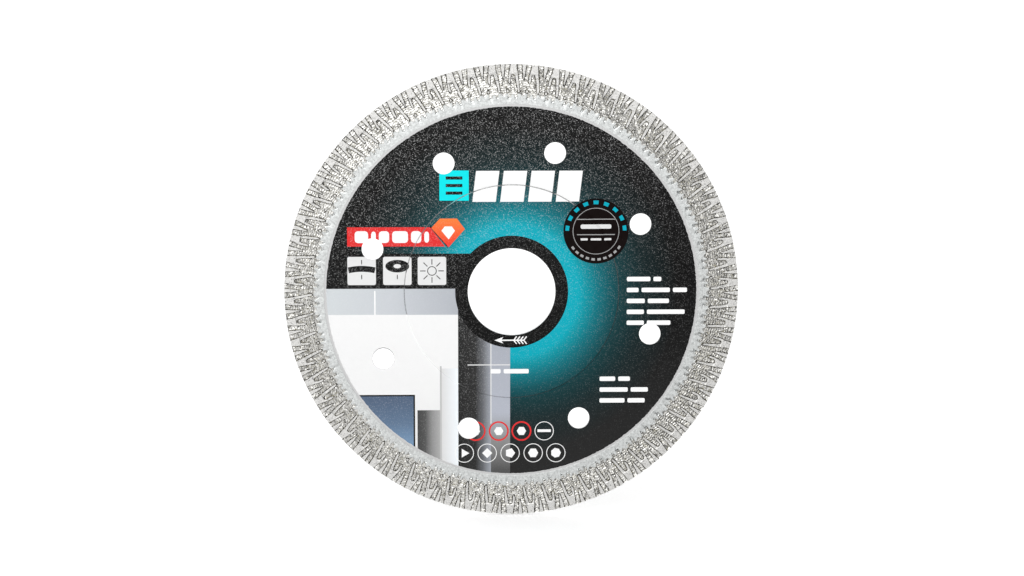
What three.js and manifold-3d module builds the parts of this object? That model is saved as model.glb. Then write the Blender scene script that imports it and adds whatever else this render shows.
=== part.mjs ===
// A 115 mm continuous rim diamond blade for tile: a thin steel core with a reinforced hub,
// a sintered mesh-turbo rim, a printed film on each face and one round sticker.
// Millimetres. The spin axis is Y, the printed front faces -Y, +Z is up, and the origin is
// the middle of the bore, halfway through the core.

import * as THREE from "three";
import { mergeGeometries, mergeVertices } from "three/addons/utils/BufferGeometryUtils.js";
import Module from "manifold-3d";

const wasm = await Module();
wasm.setup();

// ---- Driving dimensions ----
const BLADE_DIAMETER = 115;
const BORE_DIAMETER = 22.23;
const RIM_THICKNESS = 1.4;
const CORE_THICKNESS = 1.0;
const RIM_HEIGHT = 10; // radial depth of all the sintered metal
const DIAMOND_DEPTH = 7.2; // radial depth of the part that holds diamond
const CORE_OVERLAP = 1.5; // how far the core's edge reaches into the foot ring
const FLANGE_DIAMETER = 54;
const FLANGE_THICKNESS = 0.3;
const FILM_THICKNESS = 0.05;
const FILM_MARGIN = 0.6; // bare steel between the print and the foot ring
const COOLING_HOLES = 8;
const COOLING_HOLE_DIAMETER = 5.5;
const COOLING_CIRCLE_DIAMETER = 73.6;
const FIRST_HOLE_ANGLE = 17.3; // degrees clockwise from the top, seen from the front
const KEY_NOTCHES = 22;
const KEY_DEPTH = 0.9;
const KEY_MOUTH = 1.6; // width at the core's edge, narrower than the root so that it locks
const KEY_ROOT = 2.2;
const MESH_CELLS = 66;
const MESH_PHASE = 0.24; // degrees clockwise
const MESH_FLOOR_THICKNESS = 1.0; // what is left between the grooves of the two faces
const STICKER_RADIUS = 8.25;
const STICKER_X = 21.3;
const STICKER_Z = 15.4;
const STICKER_THICKNESS = 0.08;

// ---- Sizes that follow from them ----
const outerRadius = BLADE_DIAMETER / 2;
const boreRadius = BORE_DIAMETER / 2;
const footInner = outerRadius - RIM_HEIGHT;
const diamondInner = outerRadius - DIAMOND_DEPTH;
const coreRadius = footInner + CORE_OVERLAP;
const flangeRadius = FLANGE_DIAMETER / 2;
const filmRadius = footInner - FILM_MARGIN;
const halfRim = RIM_THICKNESS / 2;
const halfCore = CORE_THICKNESS / 2;
const halfHub = halfCore + FLANGE_THICKNESS;
const halfFloor = MESH_FLOOR_THICKNESS / 2;

const RING_SEGMENTS = 88;
const HOLE_SEGMENTS = 16;
const CLEAR = 5; // how far a cutter runs past what it cuts

// ---- Solids ----

// three.js geometry to a manifold-3d solid.
function toSolid(geometry) {
  const bare = geometry.clone();
  bare.deleteAttribute("normal");
  bare.deleteAttribute("uv");
  const merged = mergeVertices(bare);
  return new wasm.Manifold(
    new wasm.Mesh({
      numProp: 3,
      vertProperties: merged.attributes.position.array,
      triVerts: new Uint32Array(merged.index.array),
    }),
  );
}

// manifold-3d solid to a named mesh.
function toMesh(name, solid, material) {
  const { vertProperties, triVerts } = solid.getMesh();
  const geometry = new THREE.BufferGeometry();
  geometry.setAttribute("position", new THREE.BufferAttribute(vertProperties, 3));
  geometry.setIndex(new THREE.BufferAttribute(triVerts, 1));
  geometry.computeVertexNormals();
  const mesh = new THREE.Mesh(geometry, material);
  mesh.name = name;
  return mesh;
}

// A ring about Y from a closed [radius, y] outline, listed anticlockwise.
function ring(outline) {
  const points = [...outline, outline[0]].map(([radius, y]) => new THREE.Vector2(radius, y));
  return toSolid(new THREE.LatheGeometry(points, RING_SEGMENTS));
}

// A plain flat ring.
function washer(inner, outer, low, high) {
  return ring([
    [inner, low],
    [outer, low],
    [outer, high],
    [inner, high],
  ]);
}

// An [x, z] outline with thickness from y low to y high.
function prismGeometry(outline, low, high) {
  const shape = new THREE.Shape(outline.map(([x, z]) => new THREE.Vector2(x, z)));
  const geometry = new THREE.ExtrudeGeometry(shape, { depth: high - low, bevelEnabled: false });
  return geometry.rotateX(Math.PI / 2).translate(0, high, 0);
}

// Several prisms that don't touch, as one solid.
function prisms(outlines, low, high) {
  return toSolid(mergeGeometries(outlines.map((outline) => prismGeometry(outline, low, high))));
}

// The point at a radius and an angle in degrees clockwise from the top, seen from the front.
function polar(radius, degrees) {
  const angle = THREE.MathUtils.degToRad(degrees);
  return [radius * Math.sin(angle), radius * Math.cos(angle)];
}

function circle(centreX, centreZ, radius, segments) {
  return Array.from({ length: segments }, (_, i) => {
    const [x, z] = polar(radius, (i * 360) / segments);
    return [centreX + x, centreZ + z];
  });
}

// The same thing turned half a turn about Z, which swaps the faces.
function onBack(solid) {
  return solid.rotate([0, 0, 180]);
}

// ---- Core and hub ----

const coolingHoles = prisms(
  Array.from({ length: COOLING_HOLES }, (_, i) => {
    const degrees = FIRST_HOLE_ANGLE + (i * 360) / COOLING_HOLES;
    const [x, z] = polar(COOLING_CIRCLE_DIAMETER / 2, degrees);
    return circle(x, z, COOLING_HOLE_DIAMETER / 2, HOLE_SEGMENTS);
  }),
  -CLEAR,
  CLEAR,
);

// Dovetail notches in the core's edge, where the sintered metal locks in.
function keyNotch(degrees) {
  const halfMouth = THREE.MathUtils.radToDeg(KEY_MOUTH / 2 / coreRadius);
  const halfRoot = THREE.MathUtils.radToDeg(KEY_ROOT / 2 / (coreRadius - KEY_DEPTH));
  const flare = (halfRoot - halfMouth) / KEY_DEPTH;
  const outside = coreRadius + KEY_DEPTH / 2;
  const halfOutside = halfMouth - (flare * KEY_DEPTH) / 2;
  return [
    polar(coreRadius - KEY_DEPTH, degrees - halfRoot),
    polar(outside, degrees - halfOutside),
    polar(outside, degrees + halfOutside),
    polar(coreRadius - KEY_DEPTH, degrees + halfRoot),
  ];
}

const keyNotches = prisms(
  Array.from({ length: KEY_NOTCHES }, (_, i) => keyNotch(((i + 0.5) * 360) / KEY_NOTCHES)),
  -CLEAR,
  CLEAR,
);

const corePlate = washer(boreRadius, coreRadius, -halfCore, halfCore)
  .subtract(keyNotches)
  .subtract(coolingHoles);

const frontFlangePlate = washer(boreRadius, flangeRadius, -halfHub, -halfCore);

// ---- Rim ----

const footRing = washer(footInner, diamondInner, -halfRim, halfRim).subtract(corePlate);

// One cell of the mesh, as raised lands. Each point is [share of the cell, radius]; the
// outer points lie past the rim, which trims them.
const PAST_RIM = outerRadius + 0.7;
const LAND_FOOT = diamondInner + 0.2;
const CELL_LANDS = [
  // wide tooth with a short rib on its left and the long slanting rib on its right
  [
    [-0.108, PAST_RIM],
    [-0.22, 53.4],
    [-0.13, 52.4],
    [-0.07, 54.8],
    [0.1, 54.8],
    [0.24, LAND_FOOT],
    [0.4, LAND_FOOT],
    [0.164, PAST_RIM],
  ],
  // wedge between the two grooves
  [
    [0.363, PAST_RIM],
    [0.545, 53.4],
    [0.715, PAST_RIM],
  ],
  // small bump at the foot
  [
    [0.665, LAND_FOOT],
    [0.71, 51.3],
    [0.78, 51.3],
    [0.83, LAND_FOOT],
  ],
];

const landOutlines = Array.from({ length: MESH_CELLS }, (_, cell) =>
  CELL_LANDS.map((land) =>
    land.map(([share, radius]) => polar(radius, MESH_PHASE + ((cell + share) * 360) / MESH_CELLS)),
  ),
).flat();

const frontLands = prisms(landOutlines, -CLEAR, -halfFloor / 2);
const fullRim = washer(diamondInner, outerRadius, -halfRim, halfRim);
const diamondRim = washer(diamondInner, outerRadius, -halfFloor, halfFloor)
  .add(fullRim.intersect(frontLands))
  .add(fullRim.intersect(onBack(frontLands)));

// ---- Printed films and sticker ----

// A layer that lies on the hub and on the core and follows the step between them.
function steppedLayer(inner, outer, lift, thickness) {
  const hubLow = halfHub + lift;
  const coreLow = halfCore + lift;
  const step = flangeRadius + lift;
  return ring([
    [inner, -hubLow],
    [inner, -hubLow - thickness],
    [step + thickness, -hubLow - thickness],
    [step + thickness, -coreLow - thickness],
    [outer, -coreLow - thickness],
    [outer, -coreLow],
    [step, -coreLow],
    [step, -hubLow],
  ]);
}

const printLayer = steppedLayer(boreRadius, filmRadius, 0, FILM_THICKNESS);
const frontPrint = printLayer.subtract(coolingHoles);
const backPrint = onBack(printLayer).subtract(coolingHoles);

const stickerDisc = prisms(
  [circle(STICKER_X, STICKER_Z, STICKER_RADIUS, RING_SEGMENTS / 2)],
  -CLEAR,
  CLEAR,
);
const sticker = steppedLayer(boreRadius, filmRadius, FILM_THICKNESS, STICKER_THICKNESS)
  .intersect(stickerDisc)
  .subtract(coolingHoles);

// ---- Materials ----

const steel = new THREE.MeshStandardMaterial({ color: 0xc4c8ca, roughness: 0.45, metalness: 1 });
const footMetal = new THREE.MeshStandardMaterial({ color: 0xd2d8da, roughness: 0.5, metalness: 1 });
const diamondMetal = new THREE.MeshStandardMaterial({
  color: 0xc9c7c0,
  roughness: 0.6,
  metalness: 0.8,
});
const printedLacquer = new THREE.MeshStandardMaterial({
  color: 0x1c2b2e,
  roughness: 0.4,
  metalness: 0.3,
});
const stickerFilm = new THREE.MeshStandardMaterial({ color: 0x231b1b, roughness: 0.5 });

// ---- Assembly ----

const blade = new THREE.Group();
blade.add(
  toMesh("core_plate", corePlate, steel),
  toMesh("front_flange_plate", frontFlangePlate, steel),
  toMesh("back_flange_plate", onBack(frontFlangePlate), steel),
  toMesh("rim_foot_ring", footRing, footMetal),
  toMesh("diamond_rim", diamondRim, diamondMetal),
  toMesh("front_print_film", frontPrint, printedLacquer),
  toMesh("back_print_film", backPrint, printedLacquer),
  toMesh("round_sticker", sticker, stickerFilm),
);

export default blade;
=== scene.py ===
import math

import bpy
import numpy as np
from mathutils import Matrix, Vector, noise
from mathutils.geometry import delaunay_2d_cdt


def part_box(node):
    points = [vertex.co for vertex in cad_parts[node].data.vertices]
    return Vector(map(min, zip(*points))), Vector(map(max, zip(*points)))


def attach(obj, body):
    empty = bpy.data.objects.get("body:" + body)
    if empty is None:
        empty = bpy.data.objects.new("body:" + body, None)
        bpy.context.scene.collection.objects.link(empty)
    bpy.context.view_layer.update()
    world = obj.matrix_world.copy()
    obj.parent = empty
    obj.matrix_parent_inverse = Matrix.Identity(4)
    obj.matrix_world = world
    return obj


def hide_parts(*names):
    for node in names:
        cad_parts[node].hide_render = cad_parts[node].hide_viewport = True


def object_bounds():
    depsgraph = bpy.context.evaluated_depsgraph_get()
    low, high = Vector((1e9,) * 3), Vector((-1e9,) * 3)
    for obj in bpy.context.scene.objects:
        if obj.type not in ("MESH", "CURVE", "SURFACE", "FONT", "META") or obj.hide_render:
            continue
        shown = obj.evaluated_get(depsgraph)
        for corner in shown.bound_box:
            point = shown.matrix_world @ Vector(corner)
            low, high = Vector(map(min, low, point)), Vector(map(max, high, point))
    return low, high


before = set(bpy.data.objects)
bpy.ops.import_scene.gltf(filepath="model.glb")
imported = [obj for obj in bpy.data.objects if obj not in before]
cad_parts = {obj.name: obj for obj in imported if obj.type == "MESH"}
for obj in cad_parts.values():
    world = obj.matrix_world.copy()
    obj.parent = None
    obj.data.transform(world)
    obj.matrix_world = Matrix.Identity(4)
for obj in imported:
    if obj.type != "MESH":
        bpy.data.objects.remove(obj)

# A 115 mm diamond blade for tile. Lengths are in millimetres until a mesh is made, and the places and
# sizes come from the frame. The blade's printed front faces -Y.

cad_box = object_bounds()
MM = 0.001
FRONT = -1
BACK = 1
chance = np.random.default_rng(115)
# Without its own seed, Blender's vector noise starts from the time of day.
noise.seed_set(115)


# ---- Sizes from the frame ----


def high_corner(node):
    return Vector(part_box(node)[1]) / MM


def low_corner(node):
    return Vector(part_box(node)[0]) / MM


OUTER_RADIUS = high_corner("diamond_rim").z
HALF_RIM = high_corner("diamond_rim").y
FOOT_OUTER = high_corner("rim_foot_ring").z
CORE_RADIUS = high_corner("core_plate").z
HALF_CORE = high_corner("core_plate").y
FLANGE_RADIUS = high_corner("front_flange_plate").z
HALF_HUB = high_corner("back_flange_plate").y
FILM_RADIUS = high_corner("front_print_film").z
FILM_THICKNESS = high_corner("back_print_film").y - HALF_HUB
STICKER_CENTRE = (low_corner("round_sticker") + high_corner("round_sticker")) / 2
STICKER_RADIUS = (high_corner("round_sticker").z - low_corner("round_sticker").z) / 2
STICKER_THICKNESS = -low_corner("round_sticker").y - HALF_HUB - FILM_THICKNESS

# ---- Driving dimensions that the frame doesn't hold ----

BORE_RADIUS = 11.115
HUB_BAND_RADIUS = 14.3
COOLING_HOLES = 8
COOLING_HOLE_RADIUS = 2.75
COOLING_CIRCLE_RADIUS = 36.8
FIRST_HOLE_ANGLE = 17.3
# How far outside the flange plate's edge the print's step down to the core ends.
STEP_REACH = 0.3
# Points on the blade's large circles.
ROUND_POINTS = 264


# ---- Flat outlines, as [x, z] points listed anticlockwise as seen from the front ----


def polar(radius, degrees):
    """The point at an angle clockwise from the top, seen from the front."""
    angle = math.radians(degrees)
    return (radius * math.sin(angle), radius * math.cos(angle))


def disc(x, z, radius, points=48):
    return [
        (x + radius * math.cos(2 * math.pi * i / points), z + radius * math.sin(2 * math.pi * i / points))
        for i in range(points)
    ]


def oval(x, z, half_width, half_height):
    return [(x + half_width * px, z + half_height * pz) for px, pz in disc(0, 0, 1)]


def box(left, bottom, right, top):
    return [(left, bottom), (right, bottom), (right, top), (left, top)]


def rounded_box(left, bottom, right, top, radius, points=5):
    corners = ((right, top, 0), (left, top, 90), (left, bottom, 180), (right, bottom, 270))
    outline = []
    for x, z, start in corners:
        centre_x = x - radius if x == right else x + radius
        centre_z = z - radius if z == top else z + radius
        for i in range(points + 1):
            angle = math.radians(start + 90 * i / points)
            outline.append((centre_x + radius * math.cos(angle), centre_z + radius * math.sin(angle)))
    return outline


def bar(start, end, width):
    """A straight stroke with square ends."""
    along = Vector(end) - Vector(start)
    side = Vector((-along.y, along.x)).normalized() * width / 2
    a, b = Vector(start), Vector(end)
    return [tuple(a - side), tuple(b - side), tuple(b + side), tuple(a + side)]


def sector(x, z, inner, outer, start, stop, points=8):
    """Part of a ring, between two angles clockwise from the top."""
    steps = [start + (stop - start) * i / points for i in range(points + 1)]
    inside = [polar(inner, degrees) for degrees in steps]
    outside = [polar(outer, degrees) for degrees in reversed(steps)]
    return [(x + px, z + pz) for px, pz in inside + outside]


def hole_centre(number):
    return polar(COOLING_CIRCLE_RADIUS, FIRST_HOLE_ANGLE + 360 * number / COOLING_HOLES)


def cooling_holes():
    return [disc(*hole_centre(i), COOLING_HOLE_RADIUS) for i in range(COOLING_HOLES)]


def all_holes():
    return [disc(0, 0, BORE_RADIUS, ROUND_POINTS), *cooling_holes()]


# ---- Meshes ----


def placed(name, data):
    """A new object in the scene."""
    made = bpy.data.objects.new(name, data)
    bpy.context.scene.collection.objects.link(made)
    return made


def new_piece(name, points, faces, slots, material_of_face=None, smooth=False):
    """A mesh object from points in millimetres. slots holds its materials."""
    mesh = bpy.data.meshes.new(name)
    mesh.from_pydata([tuple(c * MM for c in point) for point in points], [], faces)
    for material in slots:
        mesh.materials.append(material)
    if material_of_face is not None:
        mesh.polygons.foreach_set("material_index", material_of_face)
    mesh.validate()
    if smooth:
        mesh.shade_smooth()
        mesh.set_sharp_from_angle(angle=math.radians(30))
    mesh.update()
    return placed(name, mesh)


def turns_left(outline):
    """Whether an outline runs anticlockwise."""
    return sum(ax * bz - az * bx for (ax, az), (bx, bz) in zip(outline, outline[1:] + outline[:1])) > 0


def triangulate(outlines, lines=(), loose=()):
    """Delaunay triangles of closed outlines, open lines and loose points.

    Gives the points, the triangles, and for each triangle the set of outlines that hold it."""
    points = []
    edges = []
    faces = []
    for outline in outlines:
        first = len(points)
        points += [Vector(p) for p in outline]
        around = list(range(first, len(points)))
        faces.append(around if turns_left(outline) else around[::-1])
    for line in lines:
        first = len(points)
        points += [Vector(p) for p in line]
        edges += [(i, i + 1) for i in range(first, len(points) - 1)]
    points += [Vector(p) for p in loose]
    flat, _, triangles, _, _, holders = delaunay_2d_cdt(points, edges, faces, 0, 1e-5)
    return flat, triangles, [set(held) for held in holders]


def slab(flat, triangles, side, height, thickness):
    """A closed skin of even thickness on one side: its points and faces, the outer triangles first.

    height gives the outer surface's distance from the middle plane at a point."""
    count = len(flat)
    outer = [(p[0], side * height(p), p[1]) for p in flat]
    inner = [(p[0], side * (height(p) - thickness), p[1]) for p in flat]
    edges = dict.fromkeys(edge for a, b, c in triangles for edge in ((a, b), (b, c), (c, a)))
    faces = [tuple(t) for t in triangles]
    faces += [(c + count, b + count, a + count) for a, b, c in triangles]
    faces += [(b, a, a + count, b + count) for a, b in edges if (b, a) not in edges]
    if side == BACK:
        faces = [tuple(reversed(face)) for face in faces]
    return outer + inner, faces


def tidy(flat, triangles):
    """Only the points that the triangles use."""
    used = sorted({i for t in triangles for i in t})
    place = {old: new for new, old in enumerate(used)}
    return [flat[i] for i in used], [tuple(place[i] for i in t) for t in triangles]


# ---- Materials ----


class Nodes:
    """Makes and joins the nodes of one tree."""

    def __init__(self, tree):
        self.tree = tree

    def node(self, kind, inputs=None, **settings):
        made = self.tree.nodes.new("ShaderNode" + kind)
        for key, value in settings.items():
            setattr(made, key, value)
        for key, value in (inputs or {}).items():
            self.put(made.inputs[key], value)
        return made

    def put(self, socket, value):
        if isinstance(value, bpy.types.NodeSocket):
            self.tree.links.new(value, socket)
        else:
            socket.default_value = value

    def maths(self, operation, a, b=0.0, clamp=False):
        return self.node("Math", {0: a, 1: b}, operation=operation, use_clamp=clamp).outputs[0]

    def times(self, a, b):
        return self.maths("MULTIPLY", a, b)

    def ramp(self, value, stops):
        """Colours along value. Each stop is (value, colour), in rising order."""
        low, high = stops[0][0], stops[-1][0]
        share = self.maths("DIVIDE", self.maths("SUBTRACT", value, low), high - low, clamp=True)
        ramp = self.node("ValToRGB", {0: share})
        elements = ramp.color_ramp.elements
        while len(elements) < len(stops):
            elements.new(0.5)
        for element, (at, shade) in zip(elements, stops):
            element.position = (at - low) / (high - low)
            element.color = shade
        return ramp.outputs[0]

    def mix(self, share, a, b):
        made = self.node("Mix", data_type="RGBA")
        self.put(made.inputs["Factor"], share)
        self.put(made.inputs[6], a)
        self.put(made.inputs[7], b)
        return made.outputs[2]


class Surface(Nodes):
    """A material with one Principled shader. Its patterns are measured in millimetres."""

    def __init__(self, name, **uniform):
        self.material = bpy.data.materials.new(name)
        self.material.use_nodes = True
        super().__init__(self.material.node_tree)
        self.shader = self.tree.nodes["Principled BSDF"]
        for socket, value in uniform.items():
            self.shader.inputs[socket.replace("_", " ")].default_value = value
        place = self.node("TexCoord").outputs["Object"]
        self.place = self.node("VectorMath", {0: place, "Scale": 1 / MM}, operation="SCALE").outputs[0]

    def set(self, socket, value):
        self.put(self.shader.inputs[socket], value)

    def stretched(self, x, y, z):
        return self.node("VectorMath", {0: self.place, 1: (x, y, z)}, operation="MULTIPLY").outputs[0]

    def noise(self, size, detail=2.0, roughness=0.5, at=None):
        """Soft noise from 0 to 1 with features about size across."""
        inputs = {"Vector": at or self.place, "Scale": 1 / size, "Detail": detail, "Roughness": roughness}
        return self.node("TexNoise", inputs).outputs[0]

    def grains(self, size):
        """A random number from 0 to 1 for each grain of about size."""
        cells = self.node("TexVoronoi", {"Vector": self.place, "Scale": 1 / size})
        return self.node("SeparateColor", {0: cells.outputs["Color"]}).outputs[0]

    def radius(self):
        flat = self.stretched(1, 0, 1)
        return self.node("VectorMath", {0: flat}, operation="LENGTH").outputs["Value"]

    def axis(self, name):
        return self.node("SeparateXYZ", {0: self.place}).outputs[name]

    def vary_roughness(self, pattern, spread, least):
        self.set("Roughness", self.maths("ADD", self.times(pattern, spread), least))

    def bump(self, height, depth):
        """Relief of a height from 0 to 1 that stands for depth millimetres."""
        made = self.node("Bump", {"Height": height, "Distance": depth * MM})
        self.set("Normal", made.outputs[0])


def linear(value):
    value /= 255
    return value / 12.92 if value <= 0.04045 else ((value + 0.055) / 1.055) ** 2.4


def colour(red, green, blue):
    """A colour given as it looks on a screen, from 0 to 255."""
    return (linear(red), linear(green), linear(blue), 1.0)


def grey(tone):
    return colour(tone, tone, tone)


def tones(stops):
    """Ramp stops from (place, grey) or (place, red, green, blue)."""
    return [(at, colour(*levels) if len(levels) == 3 else grey(*levels)) for at, *levels in stops]


def fade(axis, *stops):
    """A pattern that changes colour along an axis."""
    return lambda surface: surface.ramp(surface.axis(axis), tones(stops))


def shares(stops):
    """Ramp stops that give plain numbers in place of colours."""
    return [(at, (share, share, share, 1.0)) for at, share in stops]


FLAKE_SIZE = 0.15
# Painted light: the flakes' glints are painted into the colour, strongest at the upper left where the lamp
# falls: how far that slope leans, and the glints' share along the slope.
PAINTED_GLINT_LEAN = 0.3
PAINTED_GLINT_SPREAD = ((-50, 0.02), (-25, 0.17), (-5, 0.3), (38, 1.0))
# How bright the painted glints of the grains are, from the dullest to the brightest.
FLAKE_GLINT_BRIGHTNESS = ((0.2, 0.0), (0.6, 0.015), (0.85, 0.065), (1.0, 0.62))
# The ink's speckle: the share of grey in its tone, its relief, and how far it varies the roughness.
INK_MOTTLE = 0.04
INK_RELIEF = 0.012
INK_SPREAD = 0.2


def with_flake_glints(surface, base, amount):
    """Metallic flakes in the lacquer, their glints painted in as grains, brighter at the upper left where
    the lamp falls.
    """
    slope = surface.maths("SUBTRACT", surface.axis("Z"), surface.times(surface.axis("X"), PAINTED_GLINT_LEAN))
    spread = surface.ramp(slope, shares(PAINTED_GLINT_SPREAD))
    bright = surface.ramp(surface.grains(FLAKE_SIZE), shares(FLAKE_GLINT_BRIGHTNESS))
    # Painted glint: the lit grains are mixed into the base colour as near-white.
    return surface.mix(surface.times(surface.times(bright, spread), amount), base, grey(250))


def printed(name, base, flake_glint=0.0, roughness=0.4):
    """Ink over the lacquer, in a colour or a pattern, with the painted glints of metallic flakes showing
    through.
    """
    surface = Surface(name, Roughness=roughness, Specular_IOR_Level=0.06)
    tone = base(surface) if callable(base) else base
    mottle = surface.times(surface.noise(1.2, 3.0), INK_MOTTLE)
    surface.set("Base Color", with_flake_glints(surface, surface.mix(mottle, tone, grey(90)), flake_glint))
    speckle = surface.noise(0.35, 3.0)
    surface.bump(speckle, INK_RELIEF)
    surface.vary_roughness(speckle, INK_SPREAD, roughness - INK_SPREAD / 2)
    return surface.material


# Black lacquer, a little paler towards the bottom.
black = fade("Z", (-44, 39), (-26, 30), (-8, 11), (6, 5))
GLOW_TONES = (
    (14, 0, 168, 186), (17, 0, 163, 180), (19, 2, 142, 155), (22, 6, 109, 120),
    (25, 9, 82, 90), (28, 13, 56, 60), (34, 15, 43, 46),
)


def glow(surface):
    """Blue-green round the hub, fading to black."""
    far = surface.ramp(surface.radius(), shares(((28, 0.0), (42, 1.0))))
    return surface.mix(far, surface.ramp(surface.radius(), tones(GLOW_TONES)), black(surface))


# Ground steel: its usual and its least roughness, how far the scratches vary it, and their depth.
STEEL_ROUGHNESS = 0.34
STEEL_LEAST = 0.22
SCRATCH_SPREAD = 0.25
SCRATCH_DEPTH = 0.01


def steel(name, tone):
    """Bare steel, ground with fine scratches along X."""
    surface = Surface(name, Metallic=1.0, Roughness=STEEL_ROUGHNESS)
    scratch = surface.noise(0.5, 4.0, 0.7, at=surface.stretched(1, 1, 6))
    surface.set("Base Color", surface.mix(scratch, grey(tone - 18), grey(tone + 10)))
    surface.vary_roughness(scratch, SCRATCH_SPREAD, STEEL_LEAST)
    surface.bump(scratch, SCRATCH_DEPTH)
    return surface.material


def sintered(name, light, dark, pore_level, roughness=0.3, relief=0.02, mottle=0.2):
    """Sintered metal powder, clouded by mottle, with dark pores where its grain is below pore_level."""
    surface = Surface(name, Metallic=1.0, Roughness=roughness)
    grain = surface.noise(0.35, 4.0, 0.7)
    pores = surface.ramp(grain, shares(((pore_level - 0.03, 1.0), (pore_level + 0.03, 0.0))))
    cloud = surface.ramp(surface.noise(0.6, 4.0, 0.7), shares(((0.38, 0.0), (0.62, 1.0))))
    tone = surface.mix(cloud, surface.mix(mottle, light, dark), light)
    surface.set("Base Color", surface.mix(pores, tone, dark))
    surface.bump(grain, relief)
    return surface.material


# ---- The printed front ----


def art(ink, *outlines, gaps=()):
    """An item of artwork: the ink inside its outlines, apart from its gaps."""
    return ink, outlines, gaps


def ring_art(x, z, radius, width, ink, *gaps):
    points = ROUND_POINTS if radius > 10 else 64
    outer, inner = (disc(x, z, reach, points) for reach in (radius, radius - width))
    return art(ink, outer, gaps=(inner, *gaps))


def bars(ink, left, top, height, pitch, widths):
    """Plain bars in rows, where a label has lines of small print."""
    made = []
    for row, lengths in enumerate(widths):
        x = left
        z = top - row * pitch
        for length in lengths:
            made.append(rounded_box(x, z - height, x + length, z, height * 0.25, 2))
            x += length + BAR_GAP
    return art(ink, *made)


def rotation_arrow(ink, z, left, right):
    """A feathered arrow that shows which way the blade turns."""
    shaft = bar((left + 1.2, z), (right - 0.8, z), 0.34)
    head = [(left, z), (left + 2.3, z - 0.85), (left + 1.7, z), (left + 2.3, z + 0.85)]
    feathers = []
    for i in range(4):
        x = right - 0.2 - i * 0.85
        feathers += [bar((x - 0.75, z), (x, z + rise), 0.3) for rise in (0.95, -0.95)]
    return art(ink, shaft, head, *feathers)


def slanted_block(left, bottom, width, height):
    right, top = left + width, bottom + height
    lean = height * 0.12
    return [(left, bottom), (right, bottom), (right + lean, top), (left + lean, top)]


BAR_GAP = 0.75
# Small print: how high its bars are, and how far apart its rows.
PRINT_HEIGHT = 1.15
PRINT_PITCH = 2.8
# Lines that the picture's panels share. The picture runs on past the film's edge, which cuts it off.
PICTURE_EDGE = FILM_RADIUS + 1
PICTURE_TOP = 0.85
WALL_TOP = -5.8
GREY_WALL_LEFT = -17.8
COLUMN_LEFT = -13.6
COLUMN_CORNER = -5.3
COLUMN_RIGHT = -0.4
WHITE_WALL = box(-PICTURE_EDGE, -PICTURE_EDGE, COLUMN_LEFT, WALL_TOP)
# The white print sits a little above its cooling hole, so a dark line shows at the top of the hole.
HOLE_IN_WALL = 5
PRINT_SHIFT = 0.14
ICON_LEFTS = (-41.5, -32.5, -23.75)
ICON_BOTTOM = 1.8
ICON_SIZE = 7.2
ICON_STROKE = 0.22
# Round marks: the heights of their two rows, their radius and the width of a thin ring.
UPPER_MARKS = -35.9
LOWER_MARKS = -41.6
MARK_RADIUS = 2.45
MARK_STROKE = 0.18


def panel(ink, left, right, top, bottom=-PICTURE_EDGE):
    return art(ink, box(left, bottom, right, top))


def wall_picture():
    """Plain tile panels at the lower left: pale band, white wall, blue panel and grey columns."""
    x, z = hole_centre(HOLE_IN_WALL)
    hole = disc(x, z + PRINT_SHIFT, COOLING_HOLE_RADIUS)
    return [
        panel("tile_band", -PICTURE_EDGE, -12, PICTURE_TOP, WALL_TOP),
        panel("white", -34.8, -34.45, 0.3, WALL_TOP),
        art("wall_white", WHITE_WALL, gaps=(hole,)),
        panel("dark", -PICTURE_EDGE, -24.6, -26.4),
        panel("panel_blue", -PICTURE_EDGE, -25.0, -26.8),
        panel("shadow", -24.0, -18.25, -30.4),
        panel("shadow_line", -18.25, GREY_WALL_LEFT, -19.0),
        panel("wall_grey", GREY_WALL_LEFT, COLUMN_LEFT, -19.6),
        panel("column_dark", COLUMN_LEFT, COLUMN_CORNER, PICTURE_TOP),
        panel("column_light", COLUMN_CORNER, COLUMN_RIGHT, PICTURE_TOP),
        panel("hairline", -5.4, -5.15, 0, -34),
        panel("hairline", -11.2, COLUMN_RIGHT, -18.6, -18.85),
    ]


def size_icons():
    """Three white squares with plain pictures of a rim, a disc and a grinding wheel."""
    top = ICON_BOTTOM + ICON_SIZE
    squares = [rounded_box(left, ICON_BOTTOM, left + ICON_SIZE, top, 0.5) for left in ICON_LEFTS]
    rim, plate, wheel = (left + ICON_SIZE / 2 for left in ICON_LEFTS)
    arch = sector(rim, -9.0, 14.2, 15.7, -13, 13)
    arch_marks = [bar((rim, low), (rim, low + 1.1), ICON_STROKE) for low in (7.1, 3.3)]
    plate_mark = bar((plate, 3.3), (plate, 4.4), ICON_STROKE)
    wheel_height = 5.4
    rays = []
    for i in range(8):
        x, z = polar(1, i * 45)
        start, end = [(wheel + reach * x, wheel_height + reach * z) for reach in (1.6, 3.0)]
        rays.append(bar(start, end, ICON_STROKE))
    return [
        art("icon_white", *squares),
        art("black", arch, *arch_marks, oval(plate, 6.6, 3.0, 1.6), plate_mark),
        art("icon_white", oval(plate, 6.6, 0.95, 0.55)),
        ring_art(wheel, wheel_height, 1.2, 0.2, "black"),
        art("black", *rays),
    ]


def heading():
    """A small tile with three lines on it, and four slanted blocks in place of large lettering."""
    lines = [box(-16.6, 24.7 + i * 1.9, -12.4, 25.5 + i * 1.9) for i in range(3)]
    blocks = [slanted_block(-9.9 + i * 7.0, 22.9, 5.9, 7.8) for i in range(4)]
    return [art("cyan", box(-18.2, 23.2, -10.8, 30.8)), art("black", *lines), art("white", *blocks)]


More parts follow.
